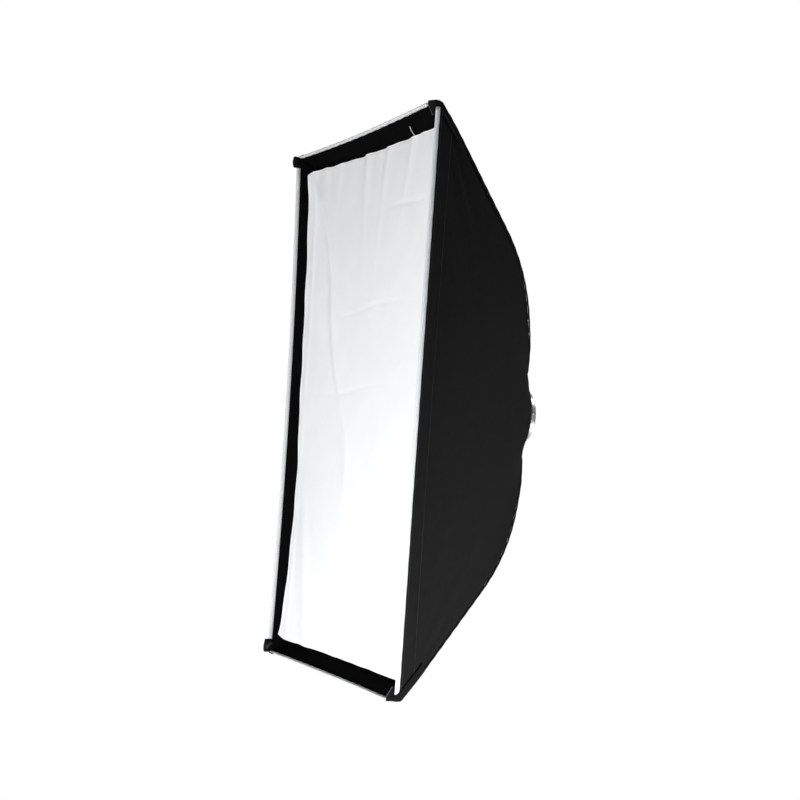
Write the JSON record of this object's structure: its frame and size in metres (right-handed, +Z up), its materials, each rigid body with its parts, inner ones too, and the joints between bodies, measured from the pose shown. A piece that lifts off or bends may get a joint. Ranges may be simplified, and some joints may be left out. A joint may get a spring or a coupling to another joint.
{
  "type": "rectangular softbox",
  "caption": "Rectangular collapsible softbox with sprung rods, recessed front diffuser, inner baffle and a bayonet speed ring.",
  "frame": {"origin": "on the ring's axis, in the plane where the adapter's seat meets the light", "axes": "+Y points back towards the light and -Y out of the diffuser, +Z is up along the long side, +X is to the right seen from the front"},
  "size_m": [0.6068, 0.3486, 0.9242],
  "materials": {
    "black_nylon": "matt woven nylon, silver coated inside",
    "grey_binding": "light grey twill binding tape",
    "black_loop_tape": "brushed loop pile",
    "black_webbing": "ribbed polyester webbing",
    "black_rubber": "moulded",
    "bright_steel": "bright zinc",
    "spring_steel": "drawn rod",
    "white_elastic": "ribbed elastic",
    "black_plastic": "moulded",
    "white_diffusion": "plain-weave diffusion cloth",
    "white_hem": "folded hem",
    "black_painted_metal": "fine textured powder coat",
    "nylon_washer": "natural nylon",
    "turned_aluminium": "fine turned, clear anodised"
  },
  "bodies": {
    "adapter": {"bayonet_insert": "turned_aluminium"},
    "softbox": {"bottom_hook_band": "black_loop_tape", "bottom_panel": "black_nylon", "bottom_rim_tape": "grey_binding", "fabric_cuff": "black_nylon", "friction_washer": "nylon_washer", "left_hook_band": "black_loop_tape", "left_panel": "black_nylon", "left_rim_tape": "grey_binding", "lower_left_baffle_loop": "black_webbing", "lower_left_corner_pocket": "black_webbing", "lower_left_rod": "spring_steel", "lower_left_rod_collar": "bright_steel", "lower_left_rod_sleeve": "black_webbing", "lower_left_rod_socket": "bright_steel", "lower_left_rod_tip": "black_rubber", "lower_right_baffle_loop": "black_webbing", "lower_right_corner_pocket": "black_webbing", "lower_right_rod": "spring_steel", "lower_right_rod_collar": "bright_steel", "lower_right_rod_sleeve": "black_webbing", "lower_right_rod_socket": "bright_steel", "lower_right_rod_tip": "black_rubber", "retaining_ring": "black_painted_metal", "retaining_screws": "bright_steel", "right_hook_band": "black_loop_tape", "right_panel": "black_nylon", "right_rim_tape": "grey_binding", "speed_ring": "black_painted_metal", "top_hook_band": "black_loop_tape", "top_panel": "black_nylon", "top_rim_tape": "grey_binding", "upper_left_baffle_loop": "black_webbing", "upper_left_corner_pocket": "black_webbing", "upper_left_rod": "spring_steel", "upper_left_rod_collar": "bright_steel", "upper_left_rod_sleeve": "black_webbing", "upper_left_rod_socket": "bright_steel", "upper_left_rod_tip": "black_rubber", "upper_right_baffle_loop": "black_webbing", "upper_right_corner_pocket": "black_webbing", "upper_right_rod": "spring_steel", "upper_right_rod_collar": "bright_steel", "upper_right_rod_sleeve": "black_webbing", "upper_right_rod_socket": "bright_steel", "upper_right_rod_tip": "black_rubber"},
    "front_diffuser_body": {"front_diffuser": "white_diffusion", "front_diffuser_hem": "white_hem"},
    "inner_baffle_body": {"inner_baffle": "white_diffusion", "inner_baffle_hem": "white_hem", "lower_left_baffle_clip": "black_plastic", "lower_left_baffle_strap": "white_elastic", "lower_right_baffle_clip": "black_plastic", "lower_right_baffle_strap": "white_elastic", "upper_left_baffle_clip": "black_plastic", "upper_left_baffle_strap": "white_elastic", "upper_right_baffle_clip": "black_plastic", "upper_right_baffle_strap": "white_elastic"}
  },
  "joints": [
    {"name": "ring_turn", "type": "hinge", "parent": "adapter", "child": "softbox", "pos_m": [0, 0, 0], "axis": [0, 1, 0], "continuous": true},
    {"name": "diffuser_pull_off", "type": "slide", "parent": "softbox", "child": "front_diffuser_body", "axis": [0, -1, 0], "range_m": [0, 0.11]},
    {"name": "baffle_unhook", "type": "slide", "parent": "softbox", "child": "inner_baffle_body", "axis": [0, -1, 0], "range_m": [0, 0.1]}
  ]
}
